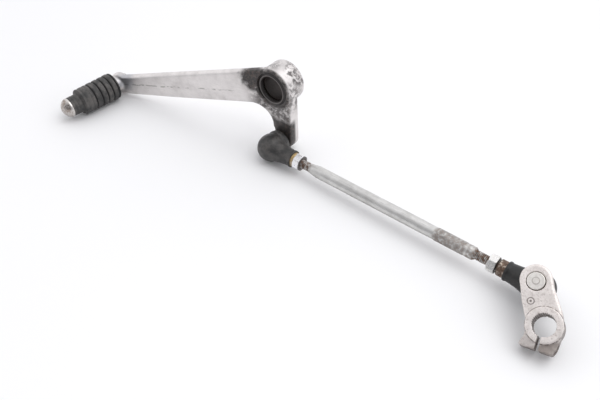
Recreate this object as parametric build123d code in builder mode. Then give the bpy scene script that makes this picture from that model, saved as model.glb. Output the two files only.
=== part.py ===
from build123d import *
import os
from math import cos, pi, radians, sin, sqrt

# Gear shift lever with its adjustable linkage, lying as it would on a bench.
# Millimetres. Origin: centre of the pivot bore. +Y: pivot axis, toward the
# engine. +X: along the tie rod, from the pedal to the shift arm. +Z: up.

os.makedirs("parts", exist_ok=True)

# ---------------------------------------------------------------- dimensions
# pivot boss, bush and dust seals
boss_radius = 13.9
boss_half = 8.75
boss_near_chamfer = 0.7
boss_far_fillet = 2.0
bush_outer_radius = 10.0
bush_bore_radius = 8.5
bush_half = 5.9
seal_pocket_radius = 11.6
seal_lip_radius = 9.9
seal_mouth_radius = 9.1
seal_wiper_radius = 8.65
seal_proud = 0.5

# long arm of the pedal, cranked outboard from the pivot
face_offset = 7.75
crank = radians(12.5)
long_arm_thickness = 6.5
long_arm_round = 2.1
long_arm_top = [(-4.6, 12.9), (-14.1, 9.4), (-73.5, -11.6), (-128.5, -31.1)]
long_arm_tip = (-140.2, -39.3)
long_arm_bottom = [(-131.0, -46.7), (-76.3, -32.9), (-18.4, -17.6)]
web_middle = (-4.9, -21.0)
web_foot = (-1.1, -31.6)
long_arm_root = (0.0, -6.0)
web_end = (1.5, -31.6)
toe_boss_radius = 5.3
toe_boss_depth = 10.8

# short arm of the pedal
short_arm_thickness = 9.2
short_arm_round = 1.6
short_arm_eye_radius = 7.4
short_arm_top = -3.0

# toe peg and its rubber
peg_root = (-129.87, -39.81, -37.58)
peg_outboard = (-0.0986, -0.9951, -0.0066)
peg_pin_radius = 4.0
peg_core_radius = 5.0
peg_rivet_radius = 4.7
peg_rivet_height = 0.9
rubber_length = 30.2
rubber_inner_radius = 10.1
rubber_outer_radius = 9.5
rubber_edge = 1.3
neck_radius = 7.0
neck_length = 7.7
dome_radius = 7.0
dome_height = 6.0
dome_rim = 1.0
groove_positions = [1.7, 6.0, 10.6, 15.2, 20.2]
shallow_positions = [23.3, 27.0]
groove_depth = 0.9
groove_width = 1.1
shallow_depth = 0.35

# ball joints, the same at both ends of the rod
ball_radius = 5.0
ball_flat = 4.0
race_clearance = 0.05
race_outer_radius = 6.45
race_low = -3.5
race_high = 3.75
cavity_radius = 6.5
eye_radius = 7.7
eye_low = -6.0
eye_high = 4.3
eye_chamfer_low = (6.0, -3.7)
eye_chamfer_high = (7.3, 3.6)
cap_radius = 5.4
cap_thickness = 1.2
stem_radius = 5.0
lever_stem_length = 21.6
arm_stem_length = 24.3
stud_radius = 3.0
stud_collar_radius = 4.7
stud_collar_height = 1.0
stud_neck_radius = 2.7

boot_radius = 9.6
boot_cavity_radius = 8.65
boot_shoulder_height = 3.9
boot_mouth_outline = [(8.3, 4.9), (7.7, 5.7), (8.4, 6.9), (8.0, 8.4)]
boot_mouth_radius = 5.6
boot_mouth_height = 8.4
boot_sleeve_start = 6.2
boot_sleeve_start_radius = 7.33
boot_sleeve_radius = 5.5
boot_bead_start = 18.1
boot_bead_end = 19.8
boot_bead_radius = 5.95

# tie rod and locknuts
rod_radius = 4.0
thread_radius = 2.95
thread_bore_radius = 3.0
knurl_radius = 4.12
rod_end_inset = 12.4
thread_bore_start = 9.0
taper_start = 33.3
taper_end = 39.9
knurl_start = 127.6
knurl_end = 147.8
far_taper_start = 153.1
far_taper_end = 154.6
nut_flat_radius = 5.0
nut_corner_radius = 5.62
nut_thickness = 5.2
nut_chamfer = 0.45
near_nut_start = 21.6
far_nut_start = 25.2

# where the two balls and the shift arm lie
lever_ball = Vector(7.64, -19.33, -38.0)
stud_top = Vector(199.8, -29.7, -19.25)
arm_axis = Vector(-0.04, -0.566, 0.823).normalized()
arm_ball_drop = 19.4

# shift arm: plate from the stud to the splined hub, split for a pinch bolt
stud_to_spline = 23.3
plate_face = -1.0
plate_thickness = 8.0
plate_left = [(23.3, 8.3), (14.6, 8.9), (5.0, 8.7), (-2.5, 9.5)]
plate_end = (32.6, -0.3)
plate_right = [(-2.5, -9.6), (6.0, -9.9), (12.2, -9.1), (18.8, -8.3), (23.3, -8.5)]
plate_round = 1.4
hub_radius = 9.9
hub_depth = 12.0
ring_radius = 9.57
spline_minor_radius = 6.0
spline_major_radius = 6.45
spline_count = 36
spline_gap_share = 0.5
spline_phase = 4.0
clamp_angle = 152.7
clamp_reach = 13.2
clamp_width = 19.0
clamp_outline = [
    (0.0, -8.8),
    (7.9, -8.3),
    (12.4, -9.7),
    (13.2, -9.1),
    (13.2, 7.3),
    (12.5, 8.0),
    (9.6, 9.0),
    (3.5, 9.3),
    (0.0, 9.3),
]
clamp_top = -2.4
slot_width = 1.8
slot_offset = -0.4
pinch_reach = 9.2
pinch_depth = -7.2
pinch_clearance_radius = 3.1
pinch_thread_radius = 2.5
stud_head_radius = 4.7
stud_head_pocket_radius = 5.05
stud_head_pocket_depth = 2.2
stud_head_proud = 0.7
stud_dimple_radius = 1.75
stud_dimple_height = 0.3
lever_head_radius = 4.75
lever_head_height = 1.2

# ------------------------------------------------------------------- planes
pivot_plane = Plane(origin=(0, 0, 0), x_dir=(1, 0, 0), z_dir=(0, -1, 0))
long_arm_plane = Plane(
    origin=(0, -face_offset, 0),
    x_dir=(cos(crank), sin(crank), 0),
    z_dir=(sin(crank), -cos(crank), 0),
)
peg_plane = Plane(origin=peg_root, x_dir=(0, 0, 1), z_dir=peg_outboard)

arm_ball = stud_top - arm_axis * arm_ball_drop
rod_span = (arm_ball - lever_ball).length
rod_axis = (arm_ball - lever_ball).normalized()
rod_plane = Plane(origin=lever_ball, x_dir=(0, 1, 0), z_dir=rod_axis)

lever_stud_axis = Vector(0, 1, 0)
lever_seat_axis = (lever_stud_axis - rod_axis * lever_stud_axis.dot(rod_axis)).normalized()
arm_seat_axis = (arm_axis - rod_axis * arm_axis.dot(rod_axis)).normalized()
lever_seat = Plane(origin=lever_ball, x_dir=rod_axis, z_dir=lever_seat_axis)
arm_seat = Plane(origin=arm_ball, x_dir=-rod_axis, z_dir=arm_seat_axis)
lever_stud_plane = Plane(origin=lever_ball, x_dir=(1, 0, 0), z_dir=lever_stud_axis)
arm_stud_plane = Plane(origin=arm_ball, x_dir=(1, 0, 0), z_dir=arm_axis)

arm_along_guess = Vector(-0.6185, 0.672, 0.4073)
arm_along = (arm_along_guess - arm_axis * arm_along_guess.dot(arm_axis)).normalized()
spline_centre = stud_top - arm_along * stud_to_spline
shift_plane = Plane(origin=spline_centre, x_dir=arm_along, z_dir=arm_axis)

lever_stud_reach = -face_offset - lever_ball.Y
arm_stud_reach = arm_ball_drop + plate_face - plate_thickness


# ---------------------------------------------------------------- functions
def ring(plane, inner, outer, low, high):
    """Plain ring about the plane's z."""
    with BuildPart() as body:
        with BuildSketch(plane.offset(low)):
            Circle(outer)
            Circle(inner, mode=Mode.SUBTRACT)
        extrude(amount=high - low)
    return body.part


def turned(plane, profile):
    """Solid turned about the plane's z from (radius, height) points."""
    axis = Axis(plane.origin, plane.z_dir)
    side = Plane(origin=plane.origin, x_dir=plane.x_dir, z_dir=plane.x_dir.cross(plane.z_dir))
    with BuildPart() as body:
        with BuildSketch(side):
            with BuildLine():
                Polyline(*profile, close=True)
            make_face()
        revolve(axis=axis)
    return body.part


def dust_seal(side):
    """Rubber ring in the pocket at one end of the pivot bore; side is +1 or -1."""
    plane = Plane(origin=(0, 0, 0), x_dir=(1, 0, 0), z_dir=(0, side, 0))
    profile = [
        (seal_pocket_radius, bush_half),
        (seal_pocket_radius, boss_half - 0.25),
        (seal_lip_radius + 0.9, boss_half),
        (seal_lip_radius + 0.3, boss_half + seal_proud),
        (seal_lip_radius - 0.3, boss_half + seal_proud),
        (seal_mouth_radius, boss_half - 0.1),
        (seal_wiper_radius, boss_half - 1.2),
        (seal_mouth_radius + 0.2, boss_half - 2.2),
        (bush_outer_radius - 0.4, bush_half),
    ]
    return turned(plane, profile)


def joint_housing(seat, stem_length):
    """Rod end: eye round the ball, stem toward the rod, both hollow."""
    stem_plane = Plane(origin=seat.origin, x_dir=seat.z_dir, z_dir=seat.x_dir)
    eye = [
        (0, eye_low),
        (eye_chamfer_low[0], eye_low),
        (eye_radius, eye_chamfer_low[1]),
        (eye_radius, eye_chamfer_high[1]),
        (eye_chamfer_high[0], eye_high),
        (0, eye_high),
    ]
    with BuildPart() as body:
        add(turned(seat, eye))
        with BuildSketch(stem_plane):
            Circle(stem_radius)
        extrude(amount=stem_length)
        chamfer(body.faces().sort_by(Axis(seat.origin, seat.x_dir))[-1].edges(), 0.5)
        with Locations(seat.origin):
            Sphere(cavity_radius, mode=Mode.SUBTRACT)
        with BuildSketch(seat.offset(eye_low)):
            Circle(cap_radius)
        extrude(amount=cap_thickness, mode=Mode.SUBTRACT)
        with BuildSketch(stem_plane.offset(thread_bore_start)):
            Circle(thread_bore_radius)
        extrude(amount=stem_length, mode=Mode.SUBTRACT)
    return body.part


def joint_cap(seat):
    """Disc that closes the back of the eye."""
    return disc(seat, cap_radius, eye_low, eye_low + cap_thickness)


def disc(plane, radius, low, high):
    """Plain disc about the plane's z."""
    with BuildPart() as body:
        with BuildSketch(plane.offset(low)):
            Circle(radius)
        extrude(amount=high - low)
    return body.part


def joint_race(plane):
    """Shell between the ball and the eye, open at both ends."""
    with BuildPart() as body:
        with BuildSketch(plane.offset(race_low)):
            Circle(race_outer_radius)
        extrude(amount=race_high - race_low)
        with Locations(plane.origin):
            Sphere(race_outer_radius, mode=Mode.INTERSECT)
            Sphere(ball_radius + race_clearance, mode=Mode.SUBTRACT)
    return body.part


def joint_boot(seat):
    """Rubber cover: hollow ball with a mouth for the stud and a sleeve over the stem."""
    stem_plane = Plane(origin=seat.origin, x_dir=seat.z_dir, z_dir=seat.x_dir)
    side = Plane(origin=seat.origin, x_dir=seat.x_dir, z_dir=seat.x_dir.cross(seat.z_dir))
    shoulder = (sqrt(boot_radius**2 - boot_shoulder_height**2), boot_shoulder_height)
    inner_lip = (boot_mouth_radius, sqrt(boot_cavity_radius**2 - boot_mouth_radius**2))
    bond_radius = (boot_radius + boot_cavity_radius) / 2
    sleeve = [
        (stem_radius, sqrt(bond_radius**2 - stem_radius**2)),
        (boot_sleeve_start_radius - 0.4, boot_sleeve_start - 0.45),
        (boot_sleeve_start_radius - 0.1, boot_sleeve_start - 0.05),
        (boot_sleeve_radius, boot_bead_start),
        (boot_bead_radius, boot_bead_start + 0.3),
        (boot_bead_radius, boot_bead_end - 0.3),
        (boot_sleeve_radius, boot_bead_end),
        (stem_radius, boot_bead_end),
    ]
    with BuildPart() as body:
        with BuildSketch(side):
            with BuildLine():
                ThreePointArc((0, -boot_radius), (boot_radius, 0), shoulder)
                Polyline(shoulder, *boot_mouth_outline, (boot_mouth_radius, boot_mouth_height), inner_lip)
                ThreePointArc(inner_lip, (boot_cavity_radius, 0), (0, -boot_cavity_radius))
                Line((0, -boot_cavity_radius), (0, -boot_radius))
            make_face()
        revolve(axis=Axis(seat.origin, seat.z_dir))
        with BuildSketch(stem_plane.offset(boot_sleeve_start - 1.0)):
            Circle(stem_radius)
        extrude(amount=boot_radius, mode=Mode.SUBTRACT)
        add(turned(stem_plane, sleeve))
    return body.part


def locknut(start):
    """Hexagon nut on the rod, start measured from the pedal's ball."""
    with BuildPart() as body:
        with BuildSketch(rod_plane.offset(start)):
            Circle(nut_corner_radius)
        extrude(amount=nut_thickness)
        chamfer(body.edges().filter_by(GeomType.CIRCLE), nut_chamfer)
        with BuildSketch(rod_plane.offset(start)):
            RegularPolygon(nut_flat_radius, 6, major_radius=False)
        extrude(amount=nut_thickness, mode=Mode.INTERSECT)
        with BuildSketch(rod_plane.offset(start)):
            Circle(thread_bore_radius)
        extrude(amount=nut_thickness, mode=Mode.SUBTRACT)
    return body.part


def ball_stud(plane, reach):
    """Ball with a flat, necked shank and a collar under the arm it is riveted to."""
    shank = [
        (0, 0),
        (stud_radius, 0),
        (stud_radius, sqrt(ball_radius**2 - stud_radius**2)),
        (stud_neck_radius, 6.4),
        (stud_neck_radius, reach - stud_collar_height - 0.8),
        (stud_collar_radius - 0.6, reach - stud_collar_height),
        (stud_collar_radius, reach - stud_collar_height + 0.5),
        (stud_collar_radius, reach),
        (0, reach),
    ]
    with BuildPart() as body:
        with Locations(plane.origin):
            Sphere(ball_radius)
        with BuildSketch(plane.offset(-ball_flat)):
            Circle(ball_radius)
        extrude(amount=-ball_radius, mode=Mode.SUBTRACT)
        add(turned(plane, shank))
    return body.part


# -------------------------------------------------------------- pedal lever
with BuildPart() as long_arm:
    with BuildSketch(long_arm_plane):
        with BuildLine():
            Polyline(*long_arm_top)
            ThreePointArc(long_arm_top[-1], long_arm_tip, long_arm_bottom[0])
            Polyline(*long_arm_bottom)
            ThreePointArc(long_arm_bottom[-1], web_middle, web_foot)
            Polyline(web_foot, web_end, long_arm_root, long_arm_top[0])
        make_face()
    extrude(amount=-long_arm_thickness)
    arm_normal_axis = Axis(long_arm_plane.origin, long_arm_plane.z_dir)
    near_rim = long_arm.faces().sort_by(arm_normal_axis)[-1].edges()
    far_rim = long_arm.faces().sort_by(arm_normal_axis)[0].edges()
    fillet((near_rim + far_rim).filter_by(lambda e: e.center().X < -4.0), long_arm_round)

with BuildPart() as short_arm:
    short_arm_near = pivot_plane.offset(face_offset)
    with BuildSketch(short_arm_near):
        with BuildLine():
            Polyline(
                (-1.0, short_arm_top),
                (lever_ball.X - short_arm_eye_radius, lever_ball.Z),
            )
            ThreePointArc(
                (lever_ball.X - short_arm_eye_radius, lever_ball.Z),
                (lever_ball.X, lever_ball.Z - short_arm_eye_radius),
                (lever_ball.X + short_arm_eye_radius, lever_ball.Z),
            )
            Polyline(
                (lever_ball.X + short_arm_eye_radius, lever_ball.Z),
                (boss_radius, short_arm_top),
                (-1.0, short_arm_top),
            )
        make_face()
    extrude(amount=-short_arm_thickness)
    short_edges = short_arm.faces().filter_by(Axis.Y).edges().filter_by(lambda e: e.center().Z < -8.0)
    fillet(short_edges, short_arm_round)

with BuildPart() as pedal_lever:
    with BuildSketch(pivot_plane.offset(-boss_half)):
        Circle(boss_radius)
    extrude(amount=2 * boss_half)
    rims = pedal_lever.edges().filter_by(GeomType.CIRCLE).sort_by(Axis.Y)
    chamfer(rims[0], boss_near_chamfer)
    fillet(rims[-1], boss_far_fillet)
    add(long_arm.part)
    add(short_arm.part)
    with BuildSketch(peg_plane):
        Circle(toe_boss_radius)
    extrude(amount=-toe_boss_depth)
    with BuildSketch(pivot_plane.offset(-boss_half)):
        Circle(bush_outer_radius)
    extrude(amount=3 * boss_half, mode=Mode.SUBTRACT)
    with BuildSketch(pivot_plane.offset(bush_half)):
        Circle(seal_pocket_radius)
    extrude(amount=2 * boss_half, mode=Mode.SUBTRACT)
    with BuildSketch(pivot_plane.offset(-bush_half)):
        Circle(seal_pocket_radius)
    extrude(amount=-2 * boss_half, mode=Mode.SUBTRACT)
    with BuildSketch(peg_plane.offset(1.0)):
        Circle(peg_pin_radius)
    extrude(amount=-2 * toe_boss_depth, mode=Mode.SUBTRACT)
    with BuildSketch(peg_plane.offset(-toe_boss_depth)):
        Circle(peg_rivet_radius + 0.3)
    extrude(amount=-3 * peg_rivet_height, mode=Mode.SUBTRACT)
    with BuildSketch(lever_stud_plane.offset(lever_stud_reach - 1.0)):
        Circle(stud_radius)
    extrude(amount=short_arm_thickness + 2.0, mode=Mode.SUBTRACT)
pedal_lever.part.label = "pedal_lever"
export_step(pedal_lever.part, "parts/pedal_lever.step")

pivot_bush = ring(pivot_plane, bush_bore_radius, bush_outer_radius, -bush_half, bush_half)
pivot_bush.label = "pivot_bush"
export_step(pivot_bush, "parts/pivot_bush.step")

outer_dust_seal = dust_seal(-1)
outer_dust_seal.label = "outer_dust_seal"
export_step(outer_dust_seal, "parts/outer_dust_seal.step")

inner_dust_seal = dust_seal(1)
inner_dust_seal.label = "inner_dust_seal"
export_step(inner_dust_seal, "parts/inner_dust_seal.step")

# ------------------------------------------------------------------ toe peg
neck_end = rubber_length + neck_length
back_end = -toe_boss_depth - peg_rivet_height
cap_rise = dome_height - dome_rim
cap_sphere = (dome_radius**2 + cap_rise**2) / (2 * cap_rise)
dome_shoulder = sqrt(cap_sphere**2 - (dome_radius * 0.6) ** 2)
peg_side = Plane(
    origin=peg_plane.origin, x_dir=peg_plane.x_dir, z_dir=peg_plane.x_dir.cross(peg_plane.z_dir)
)
with BuildPart() as toe_peg:
    with BuildSketch(peg_side):
        with BuildLine():
            Polyline(
                (0, neck_end + dome_height),
                (0, back_end),
                (peg_rivet_radius - 0.5, back_end),
                (peg_rivet_radius, back_end + 0.4),
                (peg_rivet_radius, -toe_boss_depth),
                (peg_pin_radius, -toe_boss_depth),
                (peg_pin_radius, 0),
                (peg_core_radius, 0),
                (peg_core_radius, neck_end),
                (dome_radius, neck_end),
                (dome_radius, neck_end + dome_rim),
            )
            ThreePointArc(
                (dome_radius, neck_end + dome_rim),
                (dome_radius * 0.6, neck_end + dome_height - cap_sphere + dome_shoulder),
                (0, neck_end + dome_height),
            )
        make_face()
    revolve(axis=Axis(peg_plane.origin, peg_plane.z_dir))
toe_peg.part.label = "toe_peg"
export_step(toe_peg.part, "parts/toe_peg.step")

rubber_profile = [
    (peg_core_radius, 0),
    (rubber_inner_radius - rubber_edge, 0),
    (rubber_inner_radius, rubber_edge),
    (rubber_outer_radius, rubber_length - rubber_edge),
    (rubber_outer_radius - rubber_edge, rubber_length),
    (neck_radius + 0.6, rubber_length),
    (neck_radius, rubber_length + 0.9),
    (neck_radius, neck_end),
    (peg_core_radius, neck_end),
]
with BuildPart() as toe_peg_rubber:
    add(turned(peg_plane, rubber_profile))
    for position in groove_positions:
        with BuildSketch(peg_plane.offset(position - groove_width / 2)):
            Circle(rubber_inner_radius + 1.0)
            Circle(rubber_inner_radius - 0.1 - groove_depth, mode=Mode.SUBTRACT)
        extrude(amount=groove_width, mode=Mode.SUBTRACT)
    for position in shallow_positions:
        with BuildSketch(peg_plane.offset(position - groove_width / 2)):
            Circle(rubber_inner_radius + 1.0)
            Circle(rubber_outer_radius + 0.05 - shallow_depth, mode=Mode.SUBTRACT)
        extrude(amount=groove_width, mode=Mode.SUBTRACT)
toe_peg_rubber.part.label = "toe_peg_rubber"
export_step(toe_peg_rubber.part, "parts/toe_peg_rubber.step")

# --------------------------------------------------- ball joint on the pedal
with BuildPart() as lever_ball_stud:
    add(ball_stud(lever_stud_plane, lever_stud_reach))
    with BuildSketch(lever_stud_plane.offset(lever_stud_reach)):
        Circle(stud_radius)
    extrude(amount=short_arm_thickness)
    with BuildSketch(lever_stud_plane.offset(lever_stud_reach + short_arm_thickness)):
        Circle(lever_head_radius)
    extrude(amount=lever_head_height)
    fillet(lever_ball_stud.faces().sort_by(Axis.Y)[-1].edges(), 0.8)
lever_ball_stud.part.label = "lever_ball_stud"
export_step(lever_ball_stud.part, "parts/lever_ball_stud.step")

lever_joint_housing = joint_housing(lever_seat, lever_stem_length)
lever_joint_housing.label = "lever_joint_housing"
export_step(lever_joint_housing, "parts/lever_joint_housing.step")

lever_joint_race = joint_race(lever_stud_plane)
lever_joint_race.label = "lever_joint_race"
export_step(lever_joint_race, "parts/lever_joint_race.step")

lever_joint_cap = joint_cap(lever_seat)
lever_joint_cap.label = "lever_joint_cap"
export_step(lever_joint_cap, "parts/lever_joint_cap.step")

lever_joint_boot = joint_boot(lever_seat)
lever_joint_boot.label = "lever_joint_boot"
export_step(lever_joint_boot, "parts/lever_joint_boot.step")

# ------------------------------------------------------- tie rod, locknuts
rod_profile = [
    (0, rod_end_inset),
    (thread_radius - 0.5, rod_end_inset),
    (thread_radius, rod_end_inset + 0.5),
    (thread_radius, taper_start),
    (rod_radius, taper_end),
    (rod_radius, knurl_start),
    (knurl_radius, knurl_start + 0.3),
    (knurl_radius, knurl_end - 0.3),
    (rod_radius, knurl_end),
    (rod_radius, far_taper_start),
    (thread_radius, far_taper_end),
    (thread_radius, rod_span - rod_end_inset - 0.5),
    (thread_radius - 0.5, rod_span - rod_end_inset),
    (0, rod_span - rod_end_inset),
]
shift_rod = turned(rod_plane, rod_profile)
shift_rod.label = "shift_rod"
export_step(shift_rod, "parts/shift_rod.step")

lever_locknut = locknut(near_nut_start)
lever_locknut.label = "lever_locknut"
export_step(lever_locknut, "parts/lever_locknut.step")

arm_locknut = locknut(rod_span - far_nut_start - nut_thickness)
arm_locknut.label = "arm_locknut"
export_step(arm_locknut, "parts/arm_locknut.step")

# ------------------------------------------------ ball joint on the shift arm
head_start = arm_ball_drop + plate_face - stud_head_pocket_depth
head_top = arm_ball_drop + plate_face + stud_head_proud
with BuildPart() as arm_ball_stud:
    add(ball_stud(arm_stud_plane, arm_stud_reach))
    with BuildSketch(arm_stud_plane.offset(arm_stud_reach)):
        Circle(stud_radius)
    extrude(amount=head_start - arm_stud_reach)
    with BuildSketch(arm_stud_plane.offset(head_start)):
        Circle(stud_head_radius)
    extrude(amount=head_top - head_start)
    fillet(arm_ball_stud.faces().sort_by(Axis(arm_ball, arm_axis))[-1].edges(), 0.4)
    with BuildSketch(arm_stud_plane.offset(head_top)):
        Circle(stud_dimple_radius)
    extrude(amount=stud_dimple_height, taper=20)
arm_ball_stud.part.label = "arm_ball_stud"
export_step(arm_ball_stud.part, "parts/arm_ball_stud.step")

arm_joint_housing = joint_housing(arm_seat, arm_stem_length)
arm_joint_housing.label = "arm_joint_housing"
export_step(arm_joint_housing, "parts/arm_joint_housing.step")

arm_joint_race = joint_race(arm_stud_plane)
arm_joint_race.label = "arm_joint_race"
export_step(arm_joint_race, "parts/arm_joint_race.step")

arm_joint_cap = joint_cap(arm_seat)
arm_joint_cap.label = "arm_joint_cap"
export_step(arm_joint_cap, "parts/arm_joint_cap.step")

arm_joint_boot = joint_boot(arm_seat)
arm_joint_boot.label = "arm_joint_boot"
export_step(arm_joint_boot, "parts/arm_joint_boot.step")

# ---------------------------------------------------------------- shift arm
clamp_plane = Plane(
    origin=spline_centre,
    x_dir=arm_along * cos(radians(clamp_angle)) + shift_plane.y_dir * sin(radians(clamp_angle)),
    z_dir=arm_axis,
)
gap_width = 2 * pi * spline_minor_radius / spline_count * spline_gap_share
with BuildPart() as arm_plate:
    with BuildSketch(shift_plane.offset(plate_face)):
        with BuildLine():
            Polyline(*plate_right)
            ThreePointArc(plate_right[-1], plate_end, plate_left[0])
            Polyline(*plate_left, plate_right[0])
        make_face()
    extrude(amount=-plate_thickness)
    plate_rim = arm_plate.faces().sort_by(Axis(spline_centre, arm_axis))[-1].edges()
    fillet(plate_rim.filter_by(lambda e: (e.center() - spline_centre).dot(arm_along) > 0), plate_round)

with BuildPart() as clamp_block:
    with BuildSketch(clamp_plane.offset(clamp_top)):
        with BuildLine():
            Polyline(*clamp_outline, close=True)
        make_face()
    extrude(amount=-(hub_depth + clamp_top))

with BuildPart() as shift_arm:
    with BuildSketch(shift_plane.offset(plate_face)):
        Circle(hub_radius)
    extrude(amount=-(hub_depth + plate_face))
    add(arm_plate.part)
    add(clamp_block.part)
    with BuildSketch(shift_plane.offset(plate_face)):
        Circle(ring_radius)
    extrude(amount=-plate_face)
    with BuildSketch(shift_plane):
        Circle(spline_minor_radius)
    extrude(amount=-hub_depth, mode=Mode.SUBTRACT)
    with BuildSketch(shift_plane):
        spline_middle = (spline_minor_radius + spline_major_radius) / 2
        with PolarLocations(spline_middle, spline_count, start_angle=spline_phase):
            Rectangle(spline_major_radius - spline_minor_radius + 1.0, gap_width)
        Circle(spline_minor_radius - 0.5, mode=Mode.SUBTRACT)
        Circle(spline_major_radius, mode=Mode.INTERSECT)
    extrude(amount=-hub_depth, mode=Mode.SUBTRACT)
    with BuildSketch(clamp_plane):
        with Locations((clamp_reach / 2 + 1.0, slot_offset)):
            Rectangle(clamp_reach + 2.0, slot_width)
    extrude(amount=-hub_depth, mode=Mode.SUBTRACT)
    pinch_origin = clamp_plane.origin + clamp_plane.x_dir * pinch_reach + arm_axis * pinch_depth
    pinch_plane = Plane(origin=pinch_origin, x_dir=clamp_plane.x_dir, z_dir=clamp_plane.y_dir)
    with BuildSketch(pinch_plane):
        Circle(pinch_clearance_radius)
    extrude(amount=clamp_width, mode=Mode.SUBTRACT)
    with BuildSketch(pinch_plane):
        Circle(pinch_thread_radius)
    extrude(amount=-clamp_width, mode=Mode.SUBTRACT)
    with BuildSketch(arm_stud_plane.offset(arm_stud_reach - 1.0)):
        Circle(stud_radius)
    extrude(amount=plate_thickness + 3.0, mode=Mode.SUBTRACT)
    with BuildSketch(arm_stud_plane.offset(head_start)):
        Circle(stud_head_pocket_radius)
    extrude(amount=2 * stud_head_pocket_depth, mode=Mode.SUBTRACT)
shift_arm.part.label = "shift_arm"
export_step(shift_arm.part, "parts/shift_arm.step")
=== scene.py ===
import math

import bmesh
import bpy
import numpy as np
from mathutils import Matrix, Vector, noise


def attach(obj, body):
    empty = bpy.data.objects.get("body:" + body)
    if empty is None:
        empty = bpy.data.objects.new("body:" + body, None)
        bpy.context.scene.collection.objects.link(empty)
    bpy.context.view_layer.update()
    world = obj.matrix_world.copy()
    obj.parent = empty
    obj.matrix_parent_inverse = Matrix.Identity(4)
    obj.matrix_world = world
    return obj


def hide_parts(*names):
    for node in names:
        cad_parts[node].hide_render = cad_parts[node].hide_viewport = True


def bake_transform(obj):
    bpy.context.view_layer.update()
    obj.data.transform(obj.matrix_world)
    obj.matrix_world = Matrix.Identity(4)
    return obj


# Gear shift lever and linkage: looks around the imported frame.
# Lengths in this file are millimetres unless a name ends in _m.

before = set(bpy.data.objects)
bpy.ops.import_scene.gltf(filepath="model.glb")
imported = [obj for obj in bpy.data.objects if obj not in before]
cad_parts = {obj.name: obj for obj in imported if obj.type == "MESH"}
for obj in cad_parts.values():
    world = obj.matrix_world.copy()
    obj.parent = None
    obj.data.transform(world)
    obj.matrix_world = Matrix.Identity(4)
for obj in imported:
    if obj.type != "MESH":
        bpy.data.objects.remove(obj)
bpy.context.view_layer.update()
MM = 0.001

# ------------------------------------------------------------- key geometry
LEVER_BALL = Vector((7.64, -19.33, -38.0))
STUD_TOP = Vector((199.8, -29.7, -19.25))
ARM_AXIS = Vector((-0.04, -0.566, 0.823)).normalized()
ARM_STUD_REACH = 19.4
ARM_BALL = STUD_TOP - ARM_AXIS * ARM_STUD_REACH
ROD_AXIS = (ARM_BALL - LEVER_BALL).normalized()
ROD_SPAN = (ARM_BALL - LEVER_BALL).length
ARM_ALONG = Vector((-0.6185, 0.672, 0.4073))
ARM_ALONG = (ARM_ALONG - ARM_AXIS * ARM_ALONG.dot(ARM_AXIS)).normalized()
SPLINE_TO_STUD = 23.3
SPLINE = STUD_TOP - ARM_ALONG * SPLINE_TO_STUD
PEG_ROOT = Vector((-129.87, -39.81, -37.58))
PEG_OUT = Vector((-0.0986, -0.9951, -0.0066)).normalized()
FLOOR_Z = -47.75
PIVOT = Vector((0.0, 0.0, 0.0))
TOE_WARD = Vector((-1.0, 0.0, 0.0))
FRONT = Vector((0.0, -1.0, 0.0))
BACK = Vector((0.0, 1.0, 0.0))
UP = Vector((0.0, 0.0, 1.0))
DOWN = Vector((0.0, 0.0, -1.0))


def basis(z_dir, x_hint):
    """Right-handed axes with the given z, and x as near x_hint as it can be."""
    z = z_dir.normalized()
    x = (x_hint - z * x_hint.dot(z)).normalized()
    return x, z.cross(x), z


# ------------------------------------------------------------- mesh helpers
def new_object(name, verts_mm, faces, smooth=True):
    mesh = bpy.data.meshes.new(name)
    mesh.from_pydata([tuple(c * MM for c in v) for v in verts_mm], [], faces)
    mesh.update()
    ob = bpy.data.objects.new(name, mesh)
    bpy.context.scene.collection.objects.link(ob)
    mesh.polygons.foreach_set("use_smooth", [smooth] * len(mesh.polygons))
    return ob


def tube_grid(name, origin, axis, hint, stations, radius, around):
    """Closed skin round an axis: radius(z, angle) at each station."""
    x, y, z = basis(axis, hint)
    verts, faces = [], []
    for s in stations:
        for i in range(around):
            a = 2 * math.pi * i / around
            r = radius(s, a)
            verts.append(origin + z * s + (x * math.cos(a) + y * math.sin(a)) * r)
    for j in range(len(stations) - 1):
        for i in range(around):
            k = (i + 1) % around
            a, b = j * around + i, j * around + k
            faces.append((a, b, b + around, a + around))
    for end, s in ((0, stations[0]), (len(stations) - 1, stations[-1])):
        verts.append(origin + z * s)
        c = len(verts) - 1
        for i in range(around):
            k = (i + 1) % around
            a, b = end * around + i, end * around + k
            faces.append((b, a, c) if end == 0 else (a, b, c))
    return new_object(name, verts, faces)


def lathe(name, origin, axis, hint, profile, around):
    """Closed skin of revolution: the profile is a loop of (radius, height) points."""
    x, y, z = basis(axis, hint)
    verts, faces, rows = [], [], []
    for r, h in profile:
        if r < 1e-6:
            verts.append(origin + z * h)
            rows.append([len(verts) - 1] * around)
        else:
            row = []
            for i in range(around):
                a = 2 * math.pi * i / around
                verts.append(origin + z * h + (x * math.cos(a) + y * math.sin(a)) * r)
                row.append(len(verts) - 1)
            rows.append(row)
    for lower, upper in zip(rows, rows[1:] + rows[:1]):
        for i in range(around):
            k = (i + 1) % around
            quad = [lower[i], lower[k], upper[k], upper[i]]
            face = []
            for v in quad:
                if v not in face:
                    face.append(v)
            if len(face) > 2:
                faces.append(tuple(face))
    ob = new_object(name, verts, faces)
    tidy_normals(ob)
    return ob


def tidy_normals(ob):
    bm = bmesh.new()
    bm.from_mesh(ob.data)
    bmesh.ops.remove_doubles(bm, verts=bm.verts, dist=1e-7)
    bmesh.ops.recalc_face_normals(bm, faces=bm.faces)
    bm.to_mesh(ob.data)
    bm.free()
    ob.data.update()


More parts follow.
